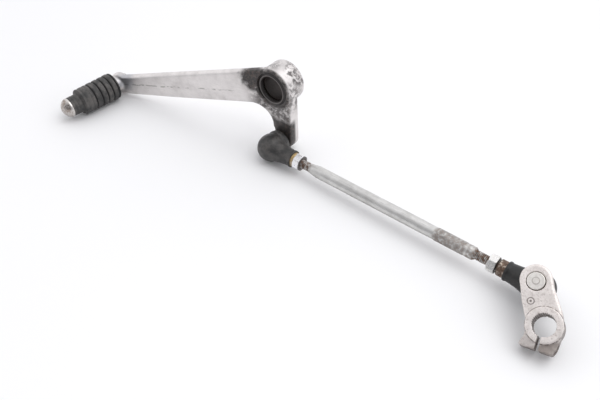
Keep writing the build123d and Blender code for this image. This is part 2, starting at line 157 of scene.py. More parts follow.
def arc(centre, radius, start, end, steps):
    """Points on an arc in (radius, height) space, angles from the radius axis."""
    out = []
    for i in range(steps + 1):
        a = math.radians(start + (end - start) * i / steps)
        out.append((centre[0] + radius * math.cos(a), centre[1] + radius * math.sin(a)))
    return out


def join(name, objects):
    """One mesh object from several."""
    bm = bmesh.new()
    for ob in objects:
        bm.from_mesh(ob.data)
    mesh = bpy.data.meshes.new(name)
    bm.to_mesh(mesh)
    bm.free()
    for ob in objects:
        old = ob.data
        bpy.data.objects.remove(ob)
        bpy.data.meshes.remove(old)
    ob = bpy.data.objects.new(name, mesh)
    bpy.context.scene.collection.objects.link(ob)
    return ob


def apply_modifiers(ob):
    """Give an object the mesh that its modifiers make, and drop them."""
    made = bpy.data.meshes.new_from_object(ob.evaluated_get(bpy.context.evaluated_depsgraph_get()))
    ob.modifiers.clear()
    old = ob.data
    ob.data = made
    bpy.data.meshes.remove(old)
    return made


def voxel_skin(ob, voxel, rounds, strength=0.5, keep=None):
    """Remesh to an even skin, then ease its edges; keep(p) is 0 where a point must stay."""
    mod = ob.modifiers.new("skin", "REMESH")
    mod.mode = "VOXEL"
    mod.voxel_size = voxel * MM
    mod.adaptivity = 0.0
    made = apply_modifiers(ob)
    n = len(made.vertices)
    co = np.empty(n * 3)
    made.vertices.foreach_get("co", co)
    co = co.reshape(-1, 3)
    edges = np.empty(len(made.edges) * 2, dtype=np.int64)
    made.edges.foreach_get("vertices", edges)
    edges = edges.reshape(-1, 2)
    count = np.bincount(edges.ravel(), minlength=n).reshape(-1, 1)
    free = np.ones((n, 1))
    if keep is not None:
        free = keep(co / MM).reshape(-1, 1)
    for _ in range(rounds):
        total = np.zeros_like(co)
        np.add.at(total, edges[:, 0], co[edges[:, 1]])
        np.add.at(total, edges[:, 1], co[edges[:, 0]])
        co = co + free * strength * (total / np.maximum(count, 1) - co)
    made.vertices.foreach_set("co", co.ravel())
    made.polygons.foreach_set("use_smooth", [True] * len(made.polygons))
    made.update()
    return ob


def skin_of_node(name, node, voxel, rounds, strength=0.5, keep=None):
    """A new piece that starts from a CAD node's shape."""
    ob = bpy.data.objects.new(name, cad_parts[node].data.copy())
    ob.data.materials.clear()
    bpy.context.scene.collection.objects.link(ob)
    tidy_normals(ob)
    return voxel_skin(ob, voxel, rounds, strength, keep)


# --------------------------------------------------------- material helpers
class Shader:
    """Small wrapper that builds one procedural material."""

    def __init__(self, name):
        self.mat = bpy.data.materials.new(name)
        self.mat.use_nodes = True
        self.tree = self.mat.node_tree
        self.bsdf = self.tree.nodes["Principled BSDF"]
        coord = self.tree.nodes.new("ShaderNodeTexCoord")
        scale = self.node("ShaderNodeVectorMath", operation="SCALE")
        self.tree.links.new(coord.outputs["Object"], scale.inputs[0])
        scale.inputs["Scale"].default_value = 1000.0
        self.mm = scale.outputs[0]
        self.geometry = self.tree.nodes.new("ShaderNodeNewGeometry")

    def node(self, kind, **attrs):
        made = self.tree.nodes.new(kind)
        for key, value in attrs.items():
            setattr(made, key, value)
        return made

    def put(self, socket, value):
        if isinstance(value, bpy.types.NodeSocket):
            self.tree.links.new(value, socket)
        else:
            socket.default_value = value

    def noise(self, scale, detail=4.0, rough=0.55, distort=0.0, stretch=None, rotate=None):
        vector = self.mm
        if stretch or rotate:
            mapping = self.node("ShaderNodeMapping")
            self.tree.links.new(self.mm, mapping.inputs["Vector"])
            if rotate:
                mapping.inputs["Rotation"].default_value = rotate
            if stretch:
                mapping.inputs["Scale"].default_value = stretch
            vector = mapping.outputs[0]
        tex = self.node("ShaderNodeTexNoise")
        self.tree.links.new(vector, tex.inputs["Vector"])
        tex.inputs["Scale"].default_value = scale
        tex.inputs["Detail"].default_value = detail
        tex.inputs["Roughness"].default_value = rough
        tex.inputs["Distortion"].default_value = distort
        return tex.outputs["Fac"]

    def math(self, operation, a, b=0.0, clamp=False):
        made = self.node("ShaderNodeMath", operation=operation, use_clamp=clamp)
        self.put(made.inputs[0], a)
        self.put(made.inputs[1], b)
        return made.outputs[0]

    def span(self, value, low, high, to_low=0.0, to_high=1.0, smooth=True):
        made = self.node("ShaderNodeMapRange", clamp=True)
        made.interpolation_type = "SMOOTHSTEP" if smooth else "LINEAR"
        self.put(made.inputs["Value"], value)
        made.inputs["From Min"].default_value = low
        made.inputs["From Max"].default_value = high
        made.inputs["To Min"].default_value = to_low
        made.inputs["To Max"].default_value = to_high
        return made.outputs["Result"]

    def mix(self, factor, a, b, blend="MIX"):
        made = self.node("ShaderNodeMix", data_type="RGBA", blend_type=blend)
        self.put(made.inputs["Factor"], factor)
        for socket, value in ((made.inputs[6], a), (made.inputs[7], b)):
            if not isinstance(value, bpy.types.NodeSocket):
                value = (*value, 1.0)
            self.put(socket, value)
        return made.outputs[2]

    def ramp(self, factor, stops):
        made = self.node("ShaderNodeValToRGB")
        self.put(made.inputs["Fac"], factor)
        elements = made.color_ramp.elements
        while len(elements) < len(stops):
            elements.new(0.5)
        for element, (at, colour) in zip(elements, stops):
            element.position = at
            element.color = (*colour, 1.0)
        return made.outputs["Color"]

    def along(self, direction, origin):
        """Signed distance in mm along a direction from a point."""
        moved = self.node("ShaderNodeVectorMath", operation="SUBTRACT")
        self.tree.links.new(self.mm, moved.inputs[0])
        moved.inputs[1].default_value = origin
        dot = self.node("ShaderNodeVectorMath", operation="DOT_PRODUCT")
        self.tree.links.new(moved.outputs[0], dot.inputs[0])
        dot.inputs[1].default_value = direction
        return dot.outputs["Value"]

    def off_axis(self, axis, origin):
        """Distance in mm from a line."""
        span = self.math("POWER", self.away(origin), 2.0)
        rise = self.math("POWER", self.math("ABSOLUTE", self.along(axis, origin)), 2.0)
        return self.math("SQRT", self.math("MAXIMUM", self.math("SUBTRACT", span, rise), 0.0))

    def away(self, point):
        """Distance in mm from a point."""
        made = self.node("ShaderNodeVectorMath", operation="DISTANCE")
        self.tree.links.new(self.mm, made.inputs[0])
        made.inputs[1].default_value = point
        return made.outputs["Value"]

    def bump(self, height, strength, distance=0.1):
        made = self.node("ShaderNodeBump")
        made.inputs["Strength"].default_value = strength
        made.inputs["Distance"].default_value = distance * MM
        self.put(made.inputs["Height"], height)
        self.tree.links.new(made.outputs["Normal"], self.bsdf.inputs["Normal"])

    def hollows(self, low=0.44, high=0.5):
        """1 in hollows of the skin, 0 on flats and edges."""
        return self.span(self.geometry.outputs["Pointiness"], low, high, 1.0, 0.0)

    def finish(self, colour, metallic, roughness, **others):
        if not isinstance(colour, bpy.types.NodeSocket):
            colour = (*colour, 1.0)
        self.put(self.bsdf.inputs["Base Color"], colour)
        self.put(self.bsdf.inputs["Metallic"], metallic)
        self.put(self.bsdf.inputs["Roughness"], roughness)
        for key, value in others.items():
            self.put(self.bsdf.inputs[key.replace("_", " ")], value)
        return self.mat


GREASE_AND_CREASE_SHADE = (0.014, 0.010, 0.009)
BROWN = (0.070, 0.048, 0.040)


def pedal_metal():
    s = Shader("pedal_aluminium")
    broad = s.noise(0.09, 5.0, 0.6)
    fine = s.noise(0.9, 6.0, 0.7)
    grain = s.noise(4.5, 3.0, 0.6)
    streak = s.noise(0.5, 4.0, 0.6, stretch=(0.25, 0.25, 2.2), rotate=(0.0, 0.29, 0.0))
    tones = [(0.30, (0.60, 0.57, 0.56)), (0.52, (0.76, 0.73, 0.72)), (0.75, (0.86, 0.83, 0.82))]
    clean = s.ramp(broad, tones)
    clean = s.mix(s.span(streak, 0.52, 0.72, 0.0, 0.25), clean, (0.52, 0.50, 0.485))
    clean = s.mix(s.span(fine, 0.58, 0.74, 0.0, 0.45), clean, (0.42, 0.385, 0.36))
    # a broken line where the casting halves met, along the middle of the long arm
    line = s.along(Vector((-0.248, -0.055, 0.967)), Vector((-32.2, -14.9, -11.8)))
    wander = s.math("MULTIPLY", s.math("SUBTRACT", s.noise(0.12, 2.0), 0.5), 1.6)
    gap = s.math("ABSOLUTE", s.math("ADD", line, wander))
    near_line = s.span(gap, 0.15, 0.75, 1.0, 0.0)
    reach = s.along(TOE_WARD, PIVOT)
    on_line = s.math("MULTIPLY", near_line, s.span(reach, 26.0, 36.0))
    on_line = s.math("MULTIPLY", on_line, s.span(s.noise(0.22, 2.0), 0.42, 0.56))
    clean = s.mix(s.math("MULTIPLY", on_line, 0.6), clean, (0.20, 0.185, 0.17))
    # painted bluish shade beside the toe rubber
    toe_shade = s.math("ADD", s.away(Vector((-122.0, -34.5, -32.0))), s.math("MULTIPLY", s.noise(0.25, 3.0), 8.0))
    clean = s.mix(s.span(toe_shade, 8.0, 15.0, 0.55, 0.0), clean, (0.30, 0.32, 0.36))
    # grease round the pivot's near mouth and down the short arm
    ragged = s.math("MULTIPLY", s.math("SUBTRACT", s.noise(0.22, 6.0, 0.7), 0.5), 9.0)
    spread = s.math("ADD", s.off_axis(BACK, PIVOT), ragged)
    front = s.span(s.along(FRONT, PIVOT), 6.2, 8.0)
    grime_and_crease_shade = s.math("MULTIPLY", s.span(spread, 12.8, 17.0, 1.0, 0.0), front)
    left = s.math("ADD", s.away(Vector((-14.0, -12.0, 4.0))), s.math("MULTIPLY", ragged, 1.3))
    left = s.span(left, 6.5, 13.0, 1.0, 0.0)
    grime_and_crease_shade = s.math("MAXIMUM", grime_and_crease_shade, s.math("MULTIPLY", left, s.span(reach, 6.0, 10.0)))
    low = s.along(DOWN, PIVOT)
    low = s.math("ADD", low, s.math("MULTIPLY", ragged, 0.8))
    face = s.span(s.along(FRONT, PIVOT), 1.6, 4.0)
    near_boss = s.span(reach, 22.0, 12.0)
    short = s.math("MULTIPLY", s.span(low, 19.0, 25.0, 0.0, 0.98), s.math("MULTIPLY", face, near_boss))
    grime_and_crease_shade = s.math("MAXIMUM", grime_and_crease_shade, short)
    patches = s.span(s.noise(0.30, 6.0, 0.7, 0.5), 0.36, 0.56, 0.15, 0.9)
    middle = s.math("MULTIPLY", s.span(low, 3.0, 10.0), s.span(reach, 22.0, 8.0))
    middle = s.math("MULTIPLY", middle, front)
    grime_and_crease_shade = s.math("MAXIMUM", grime_and_crease_shade, s.math("MULTIPLY", middle, patches))
    # spatters on the boss's outside and the side of the short arm
    spots = s.span(s.noise(0.26, 6.0, 0.75, 0.6), 0.42, 0.58)
    around = s.span(s.away(Vector((9.5, 6.0, 9.5))), 6.0, 12.0, 0.9, 0.0)
    around = s.math("MAXIMUM", around, s.span(s.away(Vector((11.5, -6.0, -3.0))), 7.0, 14.0, 0.75, 0.0))
    around = s.math("MAXIMUM", around, s.span(s.away(Vector((-6.0, -2.0, 13.0))), 4.0, 9.0, 0.6, 0.0))
    grime_and_crease_shade = s.math("MAXIMUM", grime_and_crease_shade, s.math("MULTIPLY", spots, around), clamp=True)
    foot = s.math("MULTIPLY", s.span(low, 38.0, 45.0, 0.0, 0.8), s.span(s.noise(0.3, 4.0), 0.3, 0.6))
    foot = s.math("MULTIPLY", foot, near_boss)
    grime_and_crease_shade = s.math("MAXIMUM", grime_and_crease_shade, foot, clamp=True)
    # painted shade: hollows of the skin are darkened with the grease tone
    crease_shade = s.math("MULTIPLY", s.hollows(0.455, 0.495), 0.55)
    grime_and_crease_shade = s.math("MAXIMUM", grime_and_crease_shade, s.math("MULTIPLY", crease_shade, s.span(fine, 0.35, 0.6)), clamp=True)
    tone = s.mix(s.span(s.noise(0.6, 4.0), 0.45, 0.68), GREASE_AND_CREASE_SHADE, BROWN)
    thin = s.span(s.noise(1.1, 5.0, 0.7), 0.30, 0.75, 1.0, 0.93)
    amount = s.math("MULTIPLY", grime_and_crease_shade, thin, clamp=True)
    colour = s.mix(amount, clean, tone)
    # painted highlight: convex edges of the skin are lightened
    edge = s.span(s.geometry.outputs["Pointiness"], 0.52, 0.58, 0.0, 0.5)
    colour = s.mix(edge, colour, (0.86, 0.85, 0.84))
    metallic = s.math("SUBTRACT", 0.92, s.math("MULTIPLY", amount, 0.85))
    rough = s.math("ADD", s.span(broad, 0.3, 0.7, 0.36, 0.50), s.math("MULTIPLY", fine, 0.08))
    rough = s.math("SUBTRACT", rough, s.math("MULTIPLY", amount, 0.06))
    height = s.math("ADD", s.math("MULTIPLY", grain, 0.5), s.math("MULTIPLY", fine, 0.9))
    height = s.math("ADD", height, s.math("MULTIPLY", on_line, 0.9))
    s.bump(height, 0.35, 0.12)
    return s.finish(colour, metallic, rough)


def arm_metal():
    s = Shader("arm_aluminium")
    broad = s.noise(0.16, 4.0, 0.6)
    fine = s.noise(1.1, 6.0, 0.7)
    grain = s.noise(5.0, 3.0, 0.6)
    tones = [(0.30, (0.74, 0.69, 0.66)), (0.55, (0.86, 0.81, 0.78)), (0.8, (0.92, 0.87, 0.85))]
    colour = s.ramp(broad, tones)
    colour = s.mix(s.span(fine, 0.50, 0.68, 0.0, 0.55), colour, (0.50, 0.43, 0.40))
    colour = s.mix(s.span(s.noise(0.45, 6.0, 0.8, 0.8), 0.54, 0.64, 0.0, 0.5), colour, (0.34, 0.28, 0.25))
    # the block below the raised ring is duller and brown
    block = s.span(s.along(-ARM_ALONG, SPLINE), 8.6, 10.2)
    level = s.span(s.along(ARM_AXIS, SPLINE), -1.8, -2.3)
    dull = s.math("MULTIPLY", block, level)
    dull = s.math("MULTIPLY", dull, s.span(s.noise(0.3, 4.0), 0.25, 0.6, 0.55, 1.0))
    colour = s.mix(dull, colour, (0.44, 0.39, 0.36))
    # painted shade: hollows of the skin are darkened; real specks and marks join this mask below
    darkening = s.hollows(0.43, 0.497)
    darkening = s.math("MULTIPLY", darkening, s.span(s.noise(0.7, 4.0), 0.25, 0.5, 0.7, 1.0))
    # painted shade inside the splined bore, weaker on the tooth tips
    bore = s.off_axis(ARM_AXIS, SPLINE)
    depth = s.along(ARM_AXIS, SPLINE)
    bore_shade = s.math("MULTIPLY", s.span(bore, 7.0, 6.6), s.span(depth, -0.1, -0.5))
    bore_shade = s.math("MULTIPLY", bore_shade, s.span(bore, 6.05, 6.3, 0.55, 1.0))
    darkening = s.math("MAXIMUM", darkening, s.math("MULTIPLY", bore_shade, 0.93))
    # a dark line where the raised ring meets the plate
    seam = s.math("MULTIPLY", s.span(bore, 9.15, 9.5), s.span(bore, 10.3, 9.8))
    seam = s.math("MULTIPLY", seam, s.span(s.noise(0.5, 4.0), 0.36, 0.52, 0.25, 0.9))
    seam = s.math("MULTIPLY", seam, s.span(depth, -0.3, -0.9))
    darkening = s.math("MAXIMUM", darkening, seam)
    # the side walls below the top face are darkened: painted shade, with some dirt
    under = s.span(depth, -1.9, -3.4, 0.0, 0.80)
    under = s.math("MULTIPLY", under, s.span(s.noise(0.35, 5.0, 0.7), 0.30, 0.55, 0.55, 1.0))
    darkening = s.math("MAXIMUM", darkening, under, clamp=True)
    # a plain foundry ring beside the hub
    across = ARM_AXIS.cross(ARM_ALONG)
    mark = s.away(SPLINE + ARM_ALONG * 13.4 + across * 4.4 - ARM_AXIS * 1.0)
    ring = s.math("MULTIPLY", s.span(mark, 1.35, 1.6), s.span(mark, 2.1, 1.85))
    dot = s.span(mark, 0.75, 0.45)
    stamp = s.math("MAXIMUM", ring, dot)
    darkening = s.math("MAXIMUM", darkening, s.math("MULTIPLY", stamp, 0.8))
    specks = s.span(s.noise(0.8, 6.0, 0.85), 0.58, 0.68, 0.0, 0.6)
    darkening = s.math("MAXIMUM", darkening, specks)
    tone = s.mix(s.span(s.noise(0.8, 3.0), 0.42, 0.6), (0.035, 0.027, 0.024), (0.15, 0.105, 0.085))
    colour = s.mix(darkening, colour, tone)
    # painted highlight: convex edges of the skin are lightened
    edge = s.span(s.geometry.outputs["Pointiness"], 0.52, 0.60, 0.0, 0.45)
    colour = s.mix(edge, colour, (0.90, 0.88, 0.86))
    metallic = s.math("SUBTRACT", 0.88, s.math("MULTIPLY", darkening, 0.8))
    rough = s.math("ADD", s.span(broad, 0.3, 0.7, 0.36, 0.48), s.math("MULTIPLY", fine, 0.1))
    height = s.math("ADD", s.math("MULTIPLY", grain, 0.6), s.math("MULTIPLY", fine, 0.8))
    s.bump(height, 0.35, 0.12)
    return s.finish(colour, metallic, rough)


def rubber(name, dust, level=0.030, gloss=0.62, grooves=None):
    s = Shader(name)
    broad = s.noise(0.13, 5.0, 0.6)
    fine = s.noise(1.4, 6.0, 0.72)
    dark = (level * 0.75, level * 0.74, level * 0.74)
    light = (level * 1.5, level * 1.45, level * 1.4)
    base = s.mix(s.span(broad, 0.35, 0.65), dark, light)
    amount = s.math("MULTIPLY", s.span(broad, 0.38, 0.68), s.span(fine, 0.3, 0.62))
    amount = s.math("MULTIPLY", amount, dust)
    # dust is weighted towards upward-facing skin: real dust, with a painted top light
    up = s.node("ShaderNodeSeparateXYZ")
    s.tree.links.new(s.geometry.outputs["Normal"], up.inputs[0])
    amount = s.math("MULTIPLY", amount, s.span(up.outputs["Z"], -0.5, 0.7, 0.35, 1.0))
    colour = s.mix(amount, base, (0.24, 0.215, 0.20))
    # painted shade: the grip's grooves are darkened to near black
    if grooves:
        reach = s.along(PEG_OUT, PEG_ROOT)
        for at, wide in grooves:
            gap = s.math("ABSOLUTE", s.math("SUBTRACT", reach, at))
            colour = s.mix(s.span(gap, wide, wide + 0.3, 0.9, 0.0), colour, (0.008, 0.008, 0.009))
    # painted shade in the hollows of the skin
    hollow_shade = s.math("MULTIPLY", s.hollows(0.42, 0.495), 0.75)
    colour = s.mix(hollow_shade, colour, (0.012, 0.011, 0.011))
    rough = s.span(fine, 0.3, 0.7, gloss - 0.07, gloss + 0.12)
    s.bump(s.math("ADD", fine, s.math("MULTIPLY", s.noise(6.0, 2.0), 0.4)), 0.4, 0.09)
    return s.finish(colour, 0.0, rough, IOR=1.5)


def rod_metal():
    s = Shader("rod_steel")
    reach = s.along(ROD_AXIS, LEVER_BALL)
    broad = s.noise(0.11, 4.0, 0.6)
    fine = s.noise(1.3, 6.0, 0.7)
    drawn = s.noise(1.6, 3.0, 0.6, stretch=(0.06, 1.0, 1.0))
    tones = [(0.30, (0.52, 0.515, 0.50)), (0.55, (0.64, 0.635, 0.62)), (0.78, (0.72, 0.715, 0.70))]
    colour = s.ramp(broad, tones)
    colour = s.mix(s.span(drawn, 0.50, 0.72, 0.0, 0.35), colour, (0.24, 0.23, 0.22))
    # painted shade: the underside is darker and browner
    under = Vector((0.35, -0.25, -0.9)).normalized()
    underside_shade = s.along(under, LEVER_BALL)
    underside_shade = s.math("SUBTRACT", underside_shade, s.math("MULTIPLY", reach, ROD_AXIS.dot(under)))
    colour = s.mix(s.span(underside_shade, 0.6, 3.2, 0.0, 0.55), colour, (0.24, 0.215, 0.19))
    spots = s.span(s.noise(0.8, 6.0, 0.8), 0.60, 0.70)
    colour = s.mix(s.math("MULTIPLY", spots, 0.55), colour, (0.22, 0.15, 0.10))
    left = s.span(reach, 32.5, 36.5, 1.0, 0.0)
    right = s.span(reach, 151.0, 154.5)
    knurl = s.math("MULTIPLY", s.span(reach, 126.0, 128.5), s.span(reach, 149.5, 147.0))
    tail = s.math("MULTIPLY", s.span(reach, 147.0, 150.0), 0.55)
    ends = s.math("MAXIMUM", left, right)
    rust = s.math("MAXIMUM", ends, s.math("MAXIMUM", s.math("MULTIPLY", knurl, 0.60), tail))
    patch = s.math("ADD", s.noise(0.5, 5.0, 0.7), s.math("MULTIPLY", s.hollows(0.40, 0.52), 0.22))
    rust = s.math("MULTIPLY", rust, s.span(patch, 0.36, 0.60), clamp=True)
    tone = s.mix(s.span(s.noise(1.0, 4.0), 0.38, 0.62), (0.050, 0.030, 0.020), (0.17, 0.095, 0.058))
    colour = s.mix(rust, colour, tone)
    metallic = s.math("SUBTRACT", 0.95, s.math("MULTIPLY", rust, 0.75))
    rough = s.math("ADD", s.span(fine, 0.3, 0.7, 0.30, 0.42), s.math("MULTIPLY", rust, 0.28))
    pitting = s.math("ADD", 0.25, s.math("MULTIPLY", rust, 0.9))
    height = s.math("ADD", s.math("MULTIPLY", fine, pitting), s.math("MULTIPLY", drawn, 0.3))
    s.bump(height, 0.3, 0.08)
    return s.finish(colour, metallic, rough)


def nut_metal(name, origin, tint):
    """Bright plated nut whose face on the far side has gone dark."""
    s = Shader(name)
    fine = s.noise(1.2, 6.0, 0.7)
    broad = s.noise(0.5, 3.0, 0.6)
    colour = s.mix(s.span(broad, 0.35, 0.65), (0.80, 0.79, 0.78), tint)
    reach = s.along(ROD_AXIS, origin)
    uneven = s.math("MULTIPLY", s.math("SUBTRACT", fine, 0.5), 0.6)
    dark = s.span(s.math("ADD", reach, uneven), 2.15, 2.5)
    darkening = s.math("MAXIMUM", dark, s.span(s.noise(0.5, 4.0, 0.6), 0.62, 0.76, 0.0, 0.5))
    colour = s.mix(s.math("MULTIPLY", darkening, 0.9), colour, (0.065, 0.052, 0.045))
    metallic = s.math("SUBTRACT", 0.95, s.math("MULTIPLY", darkening, 0.55))
    rough = s.math("ADD", s.span(fine, 0.3, 0.7, 0.16, 0.30), s.math("MULTIPLY", darkening, 0.3))
    s.bump(fine, 0.1, 0.04)
    return s.finish(colour, metallic, rough)


def plated(name, tint, rust_amount):
    s = Shader(name)
    fine = s.noise(1.2, 6.0, 0.7)
    broad = s.noise(0.35, 4.0, 0.6)
    colour = s.mix(s.span(broad, 0.30, 0.55), (0.55, 0.50, 0.44), tint)
    rust = s.math("MULTIPLY", s.span(s.noise(0.7, 6.0, 0.75), 0.34, 0.58), rust_amount)
    colour = s.mix(rust, colour, (0.085, 0.050, 0.034))
    metallic = s.math("SUBTRACT", 0.95, s.math("MULTIPLY", rust, 0.7))
    rough = s.math("ADD", s.span(fine, 0.3, 0.7, 0.22, 0.36), s.math("MULTIPLY", rust, 0.3))
    s.bump(fine, 0.3, 0.07)
    return s.finish(colour, metallic, rough)


def stud_head_metal():
    s = Shader("stud_steel")
    fine = s.noise(1.6, 6.0, 0.7)
    broad = s.noise(0.5, 4.0, 0.6)
    out = s.away(STUD_TOP)
    rings = s.math("SINE", s.math("MULTIPLY", out, 9.0))
    colour = s.mix(s.span(broad, 0.35, 0.65), (0.76, 0.73, 0.69), (0.86, 0.83, 0.79))
    ring = s.math("MULTIPLY", s.span(out, 1.5, 1.75), s.span(out, 2.3, 1.95))
    colour = s.mix(s.math("MULTIPLY", ring, 0.45), colour, (0.28, 0.25, 0.22))
    colour = s.mix(s.span(fine, 0.60, 0.74, 0.0, 0.5), colour, (0.30, 0.25, 0.21))
    s.bump(s.math("ADD", fine, s.math("MULTIPLY", rings, 0.15)), 0.25, 0.06)
    return s.finish(colour, 0.9, s.span(fine, 0.3, 0.7, 0.30, 0.44))


def dome_metal():
    s = Shader("peg_steel")
    fine = s.noise(1.1, 6.0, 0.72)
    broad = s.noise(0.32, 5.0, 0.65, 0.5)
    colour = s.mix(s.span(broad, 0.38, 0.62), (0.30, 0.255, 0.225), (0.55, 0.52, 0.50))
    colour = s.mix(s.span(fine, 0.56, 0.72, 0.0, 0.7), colour, (0.14, 0.095, 0.07))
    reach = s.along(PEG_OUT, PEG_ROOT)
    rim = s.math("MULTIPLY", s.span(reach, 37.8, 38.2), s.span(reach, 40.0, 39.2))
    colour = s.mix(s.math("MULTIPLY", rim, 0.55), colour, (0.78, 0.76, 0.74))
    s.bump(fine, 0.35, 0.08)
    return s.finish(colour, 0.95, s.span(broad, 0.3, 0.7, 0.20, 0.36))


def bearing(name, colour_low, colour_high, metallic, low, high):
    s = Shader(name)
    fine = s.noise(1.3, 5.0, 0.7)
    turned = s.noise(2.4, 2.0, 0.5, stretch=(0.3, 3.0, 0.3))
    colour = s.mix(s.span(fine, 0.35, 0.65), colour_low, colour_high)
    s.bump(s.math("ADD", fine, turned), 0.25, 0.06)
    return s.finish(colour, metallic, s.span(fine, 0.3, 0.7, low, high))


MAT_PEDAL = pedal_metal()
MAT_ARM = arm_metal()
MAT_ROD = rod_metal()
GROOVES = [(1.7, 0.4), (6.0, 0.42), (10.6, 0.42), (15.2, 0.42), (20.2, 0.42)]
MAT_GRIP = rubber("grip_rubber", 0.40, 0.050, 0.60, GROOVES)
MAT_BOOT = rubber("boot_rubber", 0.30, 0.032, 0.44)
# a darker copy of the boot rubber for the boot under the arm: painted shade
MAT_BOOT_SHADED = rubber("boot_rubber_shaded", 0.06, 0.012, 0.42)


def seal_material():
    s = Shader("seal_rubber")
    fine = s.noise(1.4, 6.0, 0.72)
    out = s.off_axis(BACK, PIVOT)
    # painted highlight: a lighter ring on the lip's crest
    crest = s.math("MULTIPLY", s.span(out, 9.35, 9.6), s.span(out, 10.35, 10.05))
    crest = s.math("MULTIPLY", crest, s.span(fine, 0.25, 0.6, 0.55, 1.0))
    colour = s.mix(s.span(fine, 0.35, 0.65), (0.010, 0.008, 0.008), (0.024, 0.018, 0.017))
    colour = s.mix(crest, colour, (0.13, 0.115, 0.11))
    s.bump(fine, 0.3, 0.08)
    return s.finish(colour, 0.0, s.span(fine, 0.3, 0.7, 0.38, 0.52))


MAT_SEAL = seal_material()
MAT_NUT_NEAR = nut_metal("near_nut_zinc", LEVER_BALL + ROD_AXIS * 24.2, (0.86, 0.86, 0.90))
MAT_NUT_FAR = nut_metal("far_nut_zinc", ARM_BALL - ROD_AXIS * 27.8, (0.78, 0.77, 0.74))
MAT_STEM_NEAR = plated("near_stem_zinc", (0.72, 0.52, 0.24), 0.45)
MAT_STEM_FAR = plated("far_stem_zinc", (0.26, 0.18, 0.13), 1.0)
MAT_HEAD = stud_head_metal()
MAT_STUD = plated("stud_plain_steel", (0.55, 0.53, 0.50), 0.3)
MAT_PEG = dome_metal()
# the bush is near black: grease, with painted shade in the bore
MAT_BUSH = bearing("bush_bronze", (0.018, 0.013, 0.012), (0.045, 0.034, 0.030), 0.35, 0.42, 0.55)
MAT_LINER = bearing("liner_nylon", (0.62, 0.60, 0.55), (0.78, 0.76, 0.70), 0.0, 0.38, 0.5)


def wear(ob, material):
    ob.data.materials.clear()
    ob.data.materials.append(material)
    return ob


# ------------------------------------------------------------ carried nodes
for node, material in (
    ("pivot_bush", MAT_BUSH),
    ("outer_dust_seal", MAT_SEAL),
    ("inner_dust_seal", MAT_SEAL),
    ("toe_peg", MAT_PEG),
    ("lever_ball_stud", MAT_STUD),
    ("arm_ball_stud", MAT_HEAD),
    ("lever_joint_housing", MAT_STEM_NEAR),
    ("lever_joint_race", MAT_LINER),
    ("lever_joint_cap", MAT_STEM_NEAR),
    ("arm_joint_housing", MAT_STEM_FAR),
    ("arm_joint_race", MAT_LINER),
    ("arm_joint_cap", MAT_STEM_FAR),
):
    wear(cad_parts[node], material)

# ------------------------------------------------------- cast pedal and arm
pedal = skin_of_node("pedal_casting", "pedal_lever", 0.5, 7)
wear(pedal, MAT_PEDAL)
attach(pedal, "pedal")
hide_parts("pedal_lever")


def hold_serrations(p):
    """0 on the spline teeth, 1 away from them."""
    rel = p - np.array(SPLINE)
    axis = np.array(ARM_AXIS)
    radial = rel - np.outer(rel @ axis, axis)
    distance = np.linalg.norm(radial, axis=1)
    return np.clip((distance - 6.5) / 0.6, 0.0, 1.0)


arm = skin_of_node(
    "clamp_arm_casting", "shift_arm", 0.24, 6, keep=hold_serrations
)
wear(arm, MAT_ARM)
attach(arm, "arm")
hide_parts("shift_arm")


# ------------------------------------------------------------- toe rubber
GRIP_LENGTH = 37.86
GRIP_RADIUS = 10.05
GRIP_BORE = 5.02
NECK_START = 28.9
NECK_RADIUS = 6.95
RINGS = (
    (1.7, 1.15, 0.55),
    (6.0, 1.25, 0.60),
    (10.6, 1.25, 0.60),
    (15.2, 1.20, 0.60),
    (20.2, 1.05, 0.60),
    (23.4, 0.30, 0.60),
    (27.2, 0.34, 0.70),
)


def bell(value, middle, width):
    return math.exp(-(((value - middle) / width) ** 2))


def grip_radius(s, a):
    r = GRIP_RADIUS - 0.6 * max(0.0, min(1.0, s / 30.0))
    for at, depth, width in RINGS:
        r -= depth * bell(s, at, width)
    if s < 1.4:
        r -= 1.2 * (1 - s / 1.4) ** 2
    if s > NECK_START:
        t = min(1.0, (s - NECK_START) / 1.5)
        r = r + (7.0 - r) * (t * t * (3 - 2 * t))
    if s > NECK_START + 1.7:
        r = NECK_RADIUS - 0.40 * bell(s, 33.2, 0.35) - 0.35 * bell(s, 35.6, 0.35)
    p = Vector((math.cos(a) * 10, math.sin(a) * 10, s))
    r += 0.10 * noise.noise(p * 0.22) + 0.05 * noise.noise(p * 0.7)
    nick_angle = math.atan2(math.sin(a - 2.35), math.cos(a - 2.35))
    nick = bell(s, 22.4, 0.8) * bell(nick_angle, 0.0, 0.12)
    return min(r - 0.8 * nick, GRIP_RADIUS + 0.01 - 0.02 * s)


def bore_radius(s, a):
    return GRIP_BORE


def toe_grip():
    """Ringed sleeve, closed through its bore."""
    stations = [0.0, 0.25, 0.6]
    while stations[-1] < GRIP_LENGTH - 0.36:
        stations.append(stations[-1] + (0.28))
    stations[-1] = GRIP_LENGTH
    x, y, z = basis(PEG_OUT, UP)
    around = 144
    rows = [(s, grip_radius) for s in stations]
    rows += [(GRIP_LENGTH + 0.02, bore_radius), (0.0, bore_radius)]
    verts, faces = [], []
    for s, rule in rows:
        for i in range(around):
            a = 2 * math.pi * i / around
            verts.append(PEG_ROOT + z * s + (x * math.cos(a) + y * math.sin(a)) * rule(s, a))
    for j in range(len(rows)):
        after = (j + 1) % len(rows)
        for i in range(around):
            k = (i + 1) % around
            faces.append((j * around + i, j * around + k, after * around + k, after * around + i))
    ob = new_object("toe_rubber_grip", verts, faces)
    tidy_normals(ob)
    return wear(ob, MAT_GRIP)


grip = toe_grip()
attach(grip, "pedal")
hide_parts("toe_peg_rubber")


